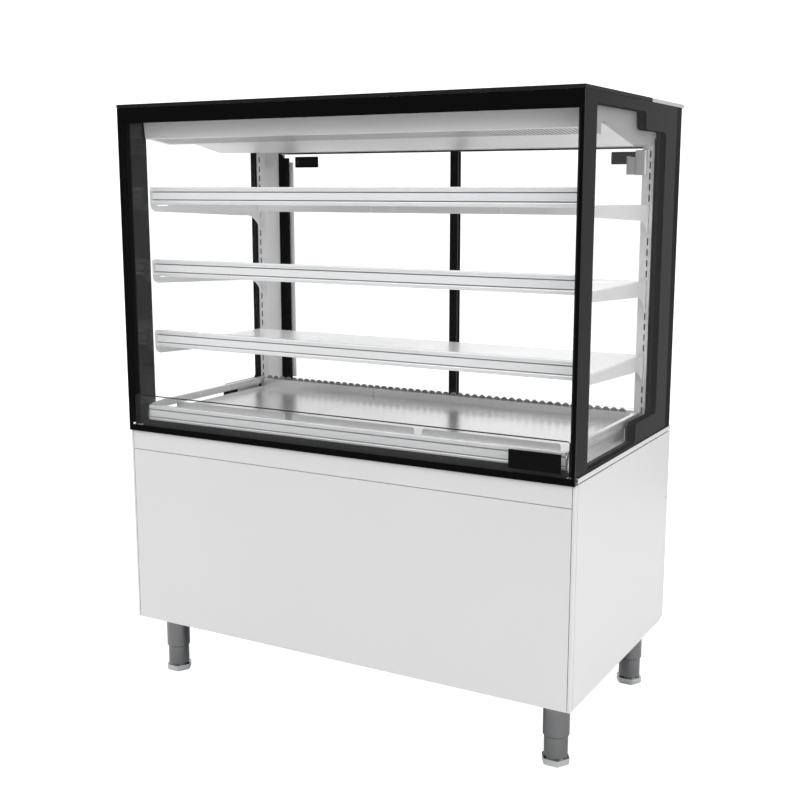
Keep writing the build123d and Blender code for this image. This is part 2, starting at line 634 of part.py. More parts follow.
def roof_plate():
    return block((-HALF_WIDTH, HALF_WIDTH), (CASE_FRONT_Y, ROOF_PLATE_REAR_Y),
                 (CASE_TOP_Z - ROOF_PLATE, CASE_TOP_Z))


def roof_rear_cap():
    """Shallow folded cover over the rear of the roof."""
    y_range = (ROOF_PLATE_REAR_Y + 1.5, CASE_REAR_Y)
    z_range = (GLASS_TOP_Z, CASE_TOP_Z - 0.5)
    cap = block((-HALF_WIDTH, HALF_WIDTH), y_range, z_range)
    under = block((-HALF_WIDTH + 2, HALF_WIDTH - 2), (y_range[0] + 2, y_range[1] - 2),
                  (z_range[0] - 1, z_range[1] - 2))
    return cap - under


# ---------------------------------------------------------------- canopy

CANOPY_TOP_Z = GLASS_TOP_Z - 0.5


def canopy_housing():
    """Light housing along the front: an upright, slightly bowed face that ends in a lip."""
    thickness = 1.5
    top = Line((-CANOPY_HALF, CANOPY_FRONT_Y, CANOPY_TOP_Z), (-CANOPY_HALF, CANOPY_FRONT_Y, CANOPY_FRONT_Z))
    bend_y = CANOPY_FRONT_Y + (CANOPY_LIP_Y - CANOPY_FRONT_Y) * 0.33
    bend_z = CANOPY_LIP_Z + (CANOPY_FRONT_Z - CANOPY_LIP_Z) * 0.36
    curve = ThreePointArc(top @ 1, (-CANOPY_HALF, bend_y, bend_z), (-CANOPY_HALF, CANOPY_LIP_Y, CANOPY_LIP_Z))
    back_curve = ThreePointArc(
        (-CANOPY_HALF, CANOPY_LIP_Y + thickness, CANOPY_LIP_Z),
        (-CANOPY_HALF, bend_y + thickness, bend_z),
        (-CANOPY_HALF, CANOPY_FRONT_Y + thickness, CANOPY_FRONT_Z),
    )
    lip = Line(curve @ 1, back_curve @ 0)
    back = Line(back_curve @ 1, (-CANOPY_HALF, CANOPY_FRONT_Y + thickness, CANOPY_TOP_Z))
    close = Line(back @ 1, top @ 0)
    face = make_face([top, curve, lip, back_curve, back, close])
    return extrude(face, amount=2 * CANOPY_HALF, dir=(1, 0, 0))


def air_slot_strip():
    """Strip behind the lip, with a row of long slots, turned up at its rear edge."""
    thickness = 1.5
    front_y = CANOPY_LIP_Y + thickness + 0.1
    outline = [
        (front_y, CANOPY_LIP_Z),
        (STRIP_REAR_Y, STRIP_REAR_Z),
        (STRIP_REAR_Y, CEILING_FRONT_Z),
        (STRIP_REAR_Y - thickness, CEILING_FRONT_Z),
        (STRIP_REAR_Y - thickness, STRIP_REAR_Z + thickness + 0.2),
        (front_y, CANOPY_LIP_Z + thickness),
    ]
    strip = extrude_along_x(outline, -CANOPY_HALF, CANOPY_HALF)
    slot_count = int(2 * (CANOPY_HALF - 12) / AIR_SLOT_PITCH)
    first_x = -(slot_count - 1) / 2 * AIR_SLOT_PITCH
    slots = Sketch() + [
        Pos(first_x + index * AIR_SLOT_PITCH, (CANOPY_LIP_Y + STRIP_REAR_Y) / 2)
        * Rectangle(AIR_SLOT_WIDTH, STRIP_REAR_Y - CANOPY_LIP_Y - 20)
        for index in range(slot_count)
    ]
    cutter = Pos(0, 0, STRIP_REAR_Z - 5) * extrude(slots, 20)
    return strip - cutter


def ceiling_z(y):
    """Height of the ceiling panel's underside."""
    share = (y - STRIP_REAR_Y) / (CEILING_REAR_Y - STRIP_REAR_Y)
    return CEILING_FRONT_Z + share * (CEILING_REAR_Z - CEILING_FRONT_Z)


def canopy_ceiling():
    """Sloping ceiling panel, turned up to the roof at its rear edge."""
    thickness = 1.5
    front_y = STRIP_REAR_Y + 0.2
    outline = [
        (front_y, ceiling_z(front_y)),
        (CEILING_REAR_Y, CEILING_REAR_Z),
        (CEILING_REAR_Y, CANOPY_TOP_Z),
        (CEILING_REAR_Y - thickness, CANOPY_TOP_Z),
        (CEILING_REAR_Y - thickness, CEILING_REAR_Z + thickness + 0.3),
        (front_y, ceiling_z(front_y) + thickness),
    ]
    return extrude_along_x(outline, -CANOPY_HALF, CANOPY_HALF)


def canopy_end():
    """Right end plate of the canopy: a lip along the ceiling line, and a stay that reaches back to the post."""
    x_range = (CANOPY_HALF, CANOPY_HALF + 1.5)
    stay_top = (92.0, 1396.0)
    outline = [
        (CANOPY_FRONT_Y, CANOPY_TOP_Z),
        (CANOPY_FRONT_Y, CANOPY_FRONT_Z),
        (CANOPY_LIP_Y, CANOPY_LIP_Z),
        (STRIP_REAR_Y, STRIP_REAR_Z),
        (STRIP_REAR_Y, CEILING_FRONT_Z),
        (CEILING_REAR_Y, CEILING_REAR_Z),
        (58.0, 1357.0),
        (203.0, 1361.0),
        (203.0, 1374.3),
        stay_top,
        (stay_top[0], CANOPY_TOP_Z),
    ]
    plate = extrude_along_x(outline, *x_range)
    lip_front = STRIP_REAR_Y + 18
    lip_rear = CEILING_REAR_Y - 8
    lip = extrude_along_x([
        (lip_front, ceiling_z(lip_front)),
        (lip_rear, ceiling_z(lip_rear)),
        (lip_rear, ceiling_z(lip_rear) + 3),
        (lip_front, ceiling_z(lip_front) + 3),
    ], x_range[1], x_range[1] + 3)
    gusset_corners = [(x_range[0], *stay_top), (x_range[0], 109.2, 1366.8), (x_range[0] - 13.8, 100.0, 1358.3)]
    gusset = extrude(make_face(Polyline(*gusset_corners, close=True)), amount=SHEET / 2, both=True)
    screw_hole = Pos(x_range[0], lip_front - 4, ceiling_z(lip_front) + 5) * Rot(0, 90, 0) * Cylinder(2, 10)
    return plate + lip + gusset - screw_hole


def led_lamp():
    """Lamp profile inside the housing: a channel with a domed light cover below."""
    centre_y = -236.0
    centre_z = 1412.0
    channel = block((-CANOPY_HALF + 6, CANOPY_HALF - 6), (centre_y - 12, centre_y + 12), (centre_z, centre_z + 12))
    dome = Pos(0, centre_y, centre_z) * Rot(0, 90, 0) * Cylinder(10, 2 * (CANOPY_HALF - 6))
    return channel + dome


# ---------------------------------------------------------------- rear frame

def slotted_post():
    """Right shelf post: a channel with a slotted face, a slanted top and a fixing tab near the top."""
    thickness = 1.5
    outline = [
        (POST_Y[0], RAIL_LOW_Z),
        (POST_Y[1], RAIL_LOW_Z),
        (POST_Y[1], POST_TOP_Z - 8),
        (POST_Y[0], POST_TOP_Z),
    ]
    post = extrude_along_x(outline, *POST_X)
    hollow = block((POST_X[0] + thickness, POST_X[1] - thickness), (POST_Y[0] + thickness, POST_Y[1] + 1),
                   (RAIL_LOW_Z - 1, POST_TOP_Z + 1))
    post = post - hollow
    sketch = Sketch() + [
        Pos(SLOT_X, TOP_SLOT_Z - index * SLOT_PITCH) * Rectangle(SLOT_WIDTH, SLOT_LENGTH)
        for index in range(SLOT_COUNT)
    ]
    cutter = extrude(Plane.XZ * sketch, 6, both=True)
    post = post - Pos(0, POST_Y[0], 0) * cutter
    tab_z = (1350.5, 1372.0)
    tab = block((POST_X[0] + 0.5, POST_X[1] - 4), (POST_Y[0] - 1.5, POST_Y[0]), tab_z)
    boss = Pos((POST_X[0] + POST_X[1]) / 2 - 2, POST_Y[0] - 2.5, sum(tab_z) / 2) * Rot(90, 0, 0) * Cylinder(5.5, 2)
    return post + tab + boss


def pillar_cover():
    """Right pillar cover: an upright folded sheet between the shelf post and the door frame."""
    thickness = 1.5
    z_range = (RAIL_TOP_Z + 1, POST_TOP_Z)
    inner_face = block((553.0, 553.0 + thickness), (POST_Y[1] + 0.5, 274.0), z_range)
    rear_return = block((553.0, 578.0), (274.0 - thickness, 274.0), z_range)
    return inner_face + rear_return


def rear_jamb():
    """Right door jamb: a channel open towards the closed door, joined to the corner profile behind the glass."""
    thickness = 1.5
    jamb_y = (286.0, 318.5)
    jamb_z = (SILL_LOW_Z, 1357.0)
    front_flange = block(JAMB_X, (jamb_y[0], jamb_y[0] + thickness), jamb_z)
    web = block((JAMB_X[1] - thickness, JAMB_X[1]), jamb_y, jamb_z)
    rear_flange = block((566.0, JAMB_X[1]), (jamb_y[1] - thickness, jamb_y[1]), jamb_z)
    corner_z = (RAIL_TOP_Z, GLASS_TOP_Z - 0.5)
    corner = block((JAMB_X[1], REAR_CORNER_X), REAR_CORNER_Y, corner_z)
    corner_hollow = block((JAMB_X[1] + thickness, REAR_CORNER_X - thickness),
                          (REAR_CORNER_Y[0] + thickness, REAR_CORNER_Y[1] - thickness),
                          (corner_z[0] - 1, corner_z[1] + 1))
    return front_flange + web + rear_flange + (corner - corner_hollow)


def rear_header():
    """Folded beam over the doors."""
    thickness = 1.5
    z_range = (HEADER_LOW_Z, CANOPY_TOP_Z)
    outer = block((-578.0, 578.0), HEADER_Y, z_range)
    hollow = block((-579.0, 579.0), (HEADER_Y[0] + thickness, HEADER_Y[1] - thickness),
                   (HEADER_LOW_Z - 1, CANOPY_TOP_Z - thickness))
    return outer - hollow


def door_tracks():
    """Plastic guide inside the header, and the sill with a running rail under each door."""
    guide_z = (HEADER_LOW_Z - 3, 1386.0)
    guide = block((-HEADER_HALF, HEADER_HALF), (HEADER_Y[0] + 1.6, HEADER_Y[1] - 1.6), guide_z)
    lip = block((-HEADER_HALF, HEADER_HALF), (HEADER_Y[0], HEADER_Y[0] + 1.6), (guide_z[0], HEADER_LOW_Z))
    guide = guide + lip
    for y in (LEFT_DOOR_Y, RIGHT_DOOR_Y):
        guide = guide - block((-HEADER_HALF - 1, HEADER_HALF + 1), (y - 3.2, y + 3.2), (guide_z[0] - 1, 1380.0))
    sill = block((-HEADER_HALF, HEADER_HALF), (HEADER_Y[0] + 2, HEADER_Y[1]), (SILL_LOW_Z, SILL_LOW_Z + 3))
    for y in (LEFT_DOOR_Y, RIGHT_DOOR_Y):
        sill = sill + block((-HEADER_HALF, HEADER_HALF), (y - 1, y + 1), (SILL_LOW_Z + 3, SILL_RAIL_TOP_Z))
    for y_range in ((HEADER_Y[0] + 2, HEADER_Y[0] + 4), (HEADER_Y[1] - 2, HEADER_Y[1])):
        sill = sill + block((-HEADER_HALF, HEADER_HALF), y_range, (SILL_LOW_Z + 3, LEDGE_TOP_Z))
    return [guide, sill]


# ---------------------------------------------------------------- sliding doors, modelled as the left one

def door_glass(y):
    return block((-DOOR_OUTER_X, DOOR_LAP_X), (y - DOOR_GLASS / 2, y + DOOR_GLASS / 2),
                 (DOOR_LOW_Z, DOOR_GLASS_TOP_Z))


def door_stiles(y):
    """Two black edge profiles around the glass, each with a glide that runs on the sill rail."""
    depth = (y - DOOR_STILE_DEPTH / 2, y + DOOR_STILE_DEPTH / 2)
    stiles = []
    for left, right, top_z in (
        (-DOOR_OUTER_X, -DOOR_OUTER_X + DOOR_STILE_WIDTH, DOOR_STILE_TOP_Z),
        (DOOR_LAP_X - LAP_STILE_WIDTH, DOOR_LAP_X, LAP_STILE_TOP_Z),
    ):
        profile = block((left, right), depth, (SILL_RAIL_TOP_Z - 4, top_z))
        profile = profile - door_glass(y)
        groove = block((left - 1, right + 1), (y - 1.3, y + 1.3), (SILL_RAIL_TOP_Z - 5, SILL_RAIL_TOP_Z + 0.3))
        stiles.append(profile - groove)
    return stiles


def door_pull(y, outward):
    """Full-height pull strip on the operator's face of the glass, with a raised finger edge."""
    face_y = y + DOOR_GLASS / 2
    left = -DOOR_OUTER_X + DOOR_STILE_WIDTH
    z_range = (DOOR_LOW_Z + 4, DOOR_STILE_TOP_Z - 12)
    strip = block((left, left + PULL_STRIP_WIDTH), (face_y, face_y + 1.6), z_range)
    edge = block((left + PULL_STRIP_WIDTH - 2, left + PULL_STRIP_WIDTH), (face_y, face_y + outward), z_range)
    return strip + edge


# ---------------------------------------------------------------- shelves

def shelf_bracket(top_z):
    """Right shelf bracket: upturned front arm, tapering web, hooks into the post, inward shelf flange."""
    x = BRACKET_X[0]
    under = top_z - 1.3

    def point(y, rise):
        return (x, y, top_z + rise)

    arm_top = RAIL_HEIGHT - RAIL_DROP
    edges = [
        Line(point(-250.0, -1.3), point(-250.0, arm_top - 5)),
        ThreePointArc(point(-250.0, arm_top - 5), point(-257.0, arm_top), point(-264.0, arm_top - 5)),
        Line(point(-264.0, arm_top - 5), point(-264.0, 1.0)),
        ThreePointArc(point(-264.0, 1.0), point(-258.0, -13.2), point(-243.0, -19.4)),
        Line(point(-243.0, -19.4), point(120.0, -36.0)),
        ThreePointArc(point(120.0, -36.0), point(174.0, -50.0), point(195.0, -76.0)),
        Line(point(195.0, -76.0), point(POST_Y[0], -76.0)),
        Line(point(POST_Y[0], -76.0), point(POST_Y[0], -1.3)),
        Line(point(POST_Y[0], -1.3), point(-250.0, -1.3)),
    ]
    web = extrude(make_face(edges), amount=BRACKET_X[1] - BRACKET_X[0], dir=(1, 0, 0))
    window = block((x - 1, x + 5), (-238.0, -197.0), (top_z - 5.6, top_z - 2.8))
    web = web - window
    flange = block((x - 11, x), (-236.0, 150.0), (under - SHEET, under))
    hooks = [
        block(BRACKET_X, (POST_Y[0], POST_Y[0] + 5), (z - 5, z + 5))
        for z in (top_z - 10.5, top_z - 10.5 - 2 * SLOT_PITCH)
    ]
    return web + flange + hooks


def shelf_plates():
    """Three plates on each tier, with the rear edge folded down."""
    gap = 0.5
    spans = [
        (-SHELF_HALF_SPAN, -SHELF_SPLIT_X - gap),
        (-SHELF_SPLIT_X + gap, SHELF_SPLIT_X - gap),
        (SHELF_SPLIT_X + gap, SHELF_HALF_SPAN),
    ]
    plates = []
    for top_z in SHELF_TOPS:
        for span in spans:
            plate = block(span, (SHELF_FRONT_Y, SHELF_REAR_Y), (top_z - TRAY_SHEET, top_z))
            lip = block(span, (SHELF_REAR_Y - TRAY_SHEET, SHELF_REAR_Y), (top_z - SHELF_LIP, top_z))
            plates.append(plate + lip)
    return plates


LIP_DEPTH = 6.0
TOP_LIP = 10.8
BOTTOM_LIP = 9.8


def ticket_rail(front_y, low_z, half_span):
    """Front rail extrusion: a back web with a rounded lip along its top and bottom."""
    high_z = low_z + RAIL_HEIGHT
    span = (-half_span, half_span)
    web = block(span, (front_y + LIP_DEPTH, front_y + LIP_DEPTH + 2), (low_z, high_z))
    rail = web
    for z_range in ((low_z, low_z + BOTTOM_LIP), (high_z - TOP_LIP, high_z)):
        lip = block(span, (front_y, front_y + LIP_DEPTH), z_range)
        rail = rail + fillet(lip.edges().filter_by(Axis.X).group_by(Axis.Y)[0], 2.6)
    return rail


def ticket_insert(front_y, low_z, half_span):
    """Removable label strip between the two lips of a ticket rail."""
    groove = 2.4
    z_range = (low_z + BOTTOM_LIP + groove, low_z + RAIL_HEIGHT - TOP_LIP - groove)
    return block((-half_span + 1, half_span - 1), (front_y + 1.8, front_y + LIP_DEPTH), z_range)


def rail_places():
    """Front plane, lowest edge and half length of every ticket rail."""
    places = [(RAIL_FRONT_Y, top_z - RAIL_DROP, SHELF_HALF_SPAN + 0.5) for top_z in SHELF_TOPS]
    return places + [(BASE_RAIL_FRONT_Y, BASE_RAIL_LOW_Z, SHELF_HALF_SPAN + 0.5)]


def sensor_cover():
    """Stepped sheet cover over the temperature probe, beside the right post."""
    tall = block((531.0, 559.0), (184.0, POST_Y[0]), (1291.5, 1349.5))
    tall = fillet(tall.edges().filter_by(Axis.Z).group_by(Axis.Y)[0], 6.0)
    low = block((514.0, 531.0), (187.0, POST_Y[0] + 8), (1293.0, 1333.5))
    back = block((509.0, 514.0), (POST_Y[0] - 6, POST_Y[0] + 8), (1293.0, 1336.0))
    return tall + low + back


def badge_plate():
    """Blank plate behind the lower right corner of the front glass."""
    badge = block((447.0, 566.0), (CASE_FRONT_Y + FRONT_GLASS, CASE_FRONT_Y + FRONT_GLASS + 0.8), (680.0, 721.0))
    return fillet(badge.edges().filter_by(Axis.Y), 1.5)


# ---------------------------------------------------------------- assembly

def build_nodes():
    legs = leg_positions()
    nodes = {
        "leg_tubes": [leg_tube(*place) for place in legs.values()],
        "base_frame": base_frame(),
        "cabinet_floor": cabinet_floor(),
        "front_panel": front_panel(),
        "front_fascia": front_fascia(),
        "side_panel_left": flipped(side_panel()),
        "side_panel_right": side_panel(),
        "corner_trims": both_sides(corner_trim()),
        "rear_control_fascia": rear_control_fascia(),
        "rear_service_panel": rear_service_panel(),
        "cover_screws": cover_screws(),
        "controller_body": controller_body(),
        "power_rocker": rocker_switch(ROCKER_XS[0]),
        "light_rocker": rocker_switch(ROCKER_XS[1]),
        "power_cord": power_cord(),
        "deck_rails": deck_rails(),
        "front_inner_panel": front_inner_panel(),
        "deck_plate": deck_plate(),
        "air_ledge": air_ledge(),
        "front_guard": front_guard(),
        "base_side_rails": both_sides(base_side_rail()),
        "heat_well": heat_well(),
        "fan_motor": fan_motor(),
        "fan_rotor": fan_rotor(),
        "heating_element": heating_element(),
        "front_glass": front_glass(),
        "side_glass_outer": both_sides(side_pane(SIDE_OUTER_X, SIDE_GLASS_Y[0])),
        "side_glass_inner": both_sides(side_pane(SIDE_INNER_X, INNER_GLASS_FRONT_Y)),
        "glazing_spacers": both_sides(glazing_spacer()),
        "roof_plate": roof_plate(),
        "roof_rear_cap": roof_rear_cap(),
        "canopy_housing": canopy_housing(),
        "air_slot_strip": air_slot_strip(),
        "canopy_ceiling": canopy_ceiling(),
        "canopy_ends": both_sides(canopy_end()),
        "led_lamp": led_lamp(),
        "slotted_posts": both_sides(slotted_post()),
        "pillar_covers": both_sides(pillar_cover()),
        "rear_jambs": both_sides(rear_jamb()),
        "rear_header": rear_header(),
        "door_tracks": door_tracks(),
        "door_left_glass": door_glass(LEFT_DOOR_Y),
        "door_left_stiles": door_stiles(LEFT_DOOR_Y),
        "door_left_pull": door_pull(LEFT_DOOR_Y, 3.6),
        "door_right_glass": flipped(door_glass(RIGHT_DOOR_Y)),
        "door_right_stiles": [flipped(stile) for stile in door_stiles(RIGHT_DOOR_Y)],
        "door_right_pull": flipped(door_pull(RIGHT_DOOR_Y, 3.6)),
        "shelf_brackets": [
            side for top_z in SHELF_TOPS for side in both_sides(shelf_bracket(top_z))
        ],
        "shelf_plates": shelf_plates(),
        "ticket_rails": [ticket_rail(*place) for place in rail_places()],
        "ticket_inserts": [ticket_insert(*place) for place in rail_places()],
        "sensor_cover": sensor_cover(),
        "badge_plate": badge_plate(),
    }
    for name, place in legs.items():
        nodes["foot_" + name] = levelling_foot(*place)
    for name, x_range in tray_ranges().items():
        nodes["tray_" + name] = tray(x_range)
    return nodes


os.makedirs("parts", exist_ok=True)
for node_name, shapes in build_nodes().items():
    export_step(as_node(shapes), "parts/" + node_name + ".step")
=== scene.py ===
"""Looks for the hot food display case: materials, lights, camera and the two door labels."""
import math

import bmesh
import bpy
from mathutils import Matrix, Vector


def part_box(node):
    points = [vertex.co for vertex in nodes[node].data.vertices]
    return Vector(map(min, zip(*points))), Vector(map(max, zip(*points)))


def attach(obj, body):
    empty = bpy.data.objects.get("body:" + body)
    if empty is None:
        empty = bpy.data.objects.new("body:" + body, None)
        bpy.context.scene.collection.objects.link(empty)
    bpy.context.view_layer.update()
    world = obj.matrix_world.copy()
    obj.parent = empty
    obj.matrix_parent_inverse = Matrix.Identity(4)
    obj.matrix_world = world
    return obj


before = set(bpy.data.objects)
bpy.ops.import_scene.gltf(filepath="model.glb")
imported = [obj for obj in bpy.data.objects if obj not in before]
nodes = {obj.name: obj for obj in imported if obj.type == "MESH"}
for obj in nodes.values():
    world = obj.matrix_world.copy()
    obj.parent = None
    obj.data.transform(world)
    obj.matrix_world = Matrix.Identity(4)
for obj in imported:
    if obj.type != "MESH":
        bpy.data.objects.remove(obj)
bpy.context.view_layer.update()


# ---------------------------------------------------------------- shader helpers

def new_material(name):
    material = bpy.data.materials.new(name)
    material.use_nodes = True
    material.node_tree.nodes.clear()
    return material


def put(tree, value, socket):
    """Links value to socket when it is an output, and otherwise stores it as the socket's value."""
    if isinstance(value, bpy.types.NodeSocket):
        tree.links.new(value, socket)
    else:
        socket.default_value = value


def add(tree, kind, inputs=None, **settings):
    node = tree.nodes.new(kind)
    for key, value in settings.items():
        setattr(node, key, value)
    for key, value in (inputs or {}).items():
        put(tree, value, node.inputs[key])
    return node


def calc(tree, operation, *values):
    node = tree.nodes.new("ShaderNodeMath")
    node.operation = operation
    for index, value in enumerate(values):
        put(tree, value, node.inputs[index])
    return node.outputs[0]


def either(tree, *masks):
    result = masks[0]
    for mask in masks[1:]:
        result = calc(tree, "MAXIMUM", result, mask)
    return result


def ramp(tree, value, low, high, to_low, to_high, smooth=True):
    node = add(tree, "ShaderNodeMapRange",
               {"Value": value, "From Min": low, "From Max": high, "To Min": to_low, "To Max": to_high})
    node.interpolation_type = "SMOOTHSTEP" if smooth else "LINEAR"
    return node.outputs["Result"]


def blend(tree, share, low, high):
    """low where share is 0, high where it is 1."""
    return calc(tree, "ADD", low, calc(tree, "MULTIPLY", share, calc(tree, "SUBTRACT", high, low)))


def object_point(tree):
    return tree.nodes.new("ShaderNodeTexCoord").outputs["Object"]


def axes(tree, vector):
    return add(tree, "ShaderNodeSeparateXYZ", {"Vector": vector}).outputs


def noise(tree, scale, detail=3.0):
    """Noise in the object's own metres; scale is a single number or one number for each axis."""
    if not isinstance(scale, tuple):
        scale = (scale, scale, scale)
    place = add(tree, "ShaderNodeMapping", {"Vector": object_point(tree), "Scale": scale})
    texture = add(tree, "ShaderNodeTexNoise",
                  {"Vector": place.outputs["Vector"], "Scale": 1.0, "Detail": detail, "Roughness": 0.55})
    return texture.outputs["Fac"]


def bumped(tree, height, strength, distance):
    node = add(tree, "ShaderNodeBump", {"Height": height, "Strength": strength, "Distance": distance})
    return node.outputs["Normal"]


def scaled(tree, colour, factor):
    node = add(tree, "ShaderNodeVectorMath", {0: colour, "Scale": factor}, operation="SCALE")
    return node.outputs["Vector"]


def shade(tree, colour, amount, variation):
    """colour made up to `amount` darker or lighter by the variation, which runs from 0 to 1."""
    return scaled(tree, colour, ramp(tree, variation, 0.25, 0.75, 1 - amount, 1 + amount, smooth=False))


def output(tree, shader):
    add(tree, "ShaderNodeOutputMaterial", {"Surface": shader})


ROUGH_PATCH_SHARE = 0.15
ROUGH_GRAIN_SHARE = 0.12
BRUSH_ACROSS = 1400.0
BRUSH_ALONG = 6.0
BRUSH_BUMP = 0.000012


def surface(name, colour, roughness, metallic=0.0, grain=700.0, grain_depth=0.0, grain_bump=0.00002,
            patch=3.0, patch_share=0.03, specular=0.5, level=None):
    """Opaque material with its own grain: grain is the noise scale, single or for each axis.

    level(tree, x, y, z) gives a brightness factor by place."""
    material = new_material(name)
    tree = material.node_tree
    fine = noise(tree, grain)
    broad = noise(tree, patch, 2.0)
    tone = shade(tree, tuple(colour), patch_share, broad)
    tone = shade(tree, tone, grain_depth, fine)
    if level is not None:
        tone = scaled(tree, tone, level(tree, *axes(tree, object_point(tree))[:3]))
    patchy = ramp(tree, broad, 0.3, 0.7, 1 - ROUGH_PATCH_SHARE, 1 + ROUGH_PATCH_SHARE)
    grainy = calc(tree, "MULTIPLY", calc(tree, "SUBTRACT", fine, 0.5), ROUGH_GRAIN_SHARE * roughness)
    rough = calc(tree, "ADD", calc(tree, "MULTIPLY", patchy, roughness), grainy)
    shader = add(tree, "ShaderNodeBsdfPrincipled", {
        "Base Color": tone, "Roughness": rough, "Metallic": metallic, "Specular IOR Level": specular,
        "Normal": bumped(tree, fine, 0.35, grain_bump),
    })
    output(tree, shader.outputs["BSDF"])
    return material


def brushed(name, colour, roughness, along, metallic, depth=0.05, level=None):
    """Metal with fine lines that run along one axis."""
    scale = [BRUSH_ACROSS, BRUSH_ACROSS, BRUSH_ACROSS]
    scale["XYZ".index(along)] = BRUSH_ALONG
    return surface(name, colour, roughness, metallic, grain=tuple(scale), grain_depth=depth,
                   grain_bump=BRUSH_BUMP, patch=2.2, level=level)


# ---------------------------------------------------------------- glass

CLEAR = (0.99, 0.99, 0.99, 1.0)
DUST = (0.8, 0.8, 0.8, 1.0)
ENAMEL = (0.002, 0.002, 0.0022)


def clear_shader(tree, tint, strength, smudge):
    """Thin clear pane: light passes straight through, and the outward face reflects."""
    facing = tree.nodes.new("ShaderNodeNewGeometry").outputs["Backfacing"]
    outward = calc(tree, "SUBTRACT", 1.0, facing)
    fresnel = add(tree, "ShaderNodeFresnel", {"IOR": 1.5}).outputs["Fac"]
    share = calc(tree, "MULTIPLY", calc(tree, "MULTIPLY", fresnel, strength), outward)
    through = add(tree, "ShaderNodeBsdfTransparent", {"Color": tint})
    mirror = add(tree, "ShaderNodeBsdfAnisotropic", {"Color": (1, 1, 1, 1), "Roughness": smudge})
    mix = add(tree, "ShaderNodeMixShader", {0: share, 1: through.outputs[0], 2: mirror.outputs[0]})
    return mix.outputs[0]


def pane_material(name, thin_axis, border, edge=(0.006, 0.007, 0.007), strength=1.0, haze=0.0, gloss=0.5,
                  enamel=ENAMEL):
    """Glass pane, thin along thin_axis. border(tree, x, y, z) gives 1 where the enamel is."""
    material = new_material(name)
    tree = material.node_tree
    x, y, z = axes(tree, object_point(tree))
    smudge = ramp(tree, noise(tree, 9.0, 4.0), 0.35, 0.75, 0.004, 0.03)
    mixed = clear_shader(tree, CLEAR, strength, smudge)
    if haze:
        dust = add(tree, "ShaderNodeBsdfDiffuse", {"Color": DUST}).outputs[0]
        share = calc(tree, "MULTIPLY", ramp(tree, noise(tree, 14.0, 4.0), 0.3, 0.7, 0.85, 1.15), haze)
        mixed = add(tree, "ShaderNodeMixShader", {0: share, 1: mixed, 2: dust}).outputs[0]
    normal = tree.nodes.new("ShaderNodeNewGeometry").outputs["True Normal"]
    across = axes(tree, normal)["XYZ".index(thin_axis)]
    is_edge = calc(tree, "LESS_THAN", calc(tree, "ABSOLUTE", across), 0.7)
    ground = add(tree, "ShaderNodeBsdfPrincipled", {
        "Base Color": shade(tree, edge, 0.2, noise(tree, 160.0)),
        "Roughness": 0.4,
        "Specular IOR Level": 0.25,
        "Normal": bumped(tree, noise(tree, 900.0), 0.3, 0.00005),
    })
    if border is not None:
        speck = noise(tree, 1200.0, 2.0)
        ink = add(tree, "ShaderNodeBsdfPrincipled", {
            "Base Color": shade(tree, enamel, 0.25, speck),
            "Roughness": ramp(tree, speck, 0.3, 0.7, 0.05, 0.09),
            "Specular IOR Level": gloss,
            "Normal": bumped(tree, speck, 0.1, 0.00001),
        })
        mask = border(tree, x, y, z)
        mixed = add(tree, "ShaderNodeMixShader", {0: mask, 1: mixed, 2: ink.outputs[0]}).outputs[0]
    final = add(tree, "ShaderNodeMixShader", {0: is_edge, 1: mixed, 2: ground.outputs[0]})
    output(tree, final.outputs[0])
    return material


# ---------------------------------------------------------------- enamel borders, widths in metres

FRONT_TOP_WIDTH = 0.036
FRONT_LOW_WIDTH = 0.014
FRONT_SIDE_WIDTH = 0.008
GUARD_TOP_WIDTH = 0.002
GUARD_SIDE_WIDTH = 0.0015
SIDE_TOP_WIDTH = 0.0235
STEP_LENGTH = 0.233
STEP_TOP_WIDTH = 0.0625
STEP_LOW_WIDTH_LEFT = 0.0435
STEP_LOW_WIDTH_RIGHT = 0.048
STEP_ROUNDING = 0.02
WINDOW_CORNER_RADIUS = 0.012
WINDOW_FRONT_Y = -0.6


def front_border(tree, x, y, z):
    low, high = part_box("front_glass")
    return either(tree,
                  calc(tree, "GREATER_THAN", z, high.z - FRONT_TOP_WIDTH),
                  calc(tree, "LESS_THAN", z, low.z + FRONT_LOW_WIDTH),
                  calc(tree, "GREATER_THAN", calc(tree, "ABSOLUTE", x), high.x - FRONT_SIDE_WIDTH))


def guard_border(tree, x, y, z):
    """Dark line along the polished top and end edges of the guard."""
    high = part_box("front_guard")[1]
    return either(tree,
                  calc(tree, "GREATER_THAN", z, high.z - GUARD_TOP_WIDTH),
                  calc(tree, "GREATER_THAN", calc(tree, "ABSOLUTE", x), high.x - GUARD_SIDE_WIDTH))


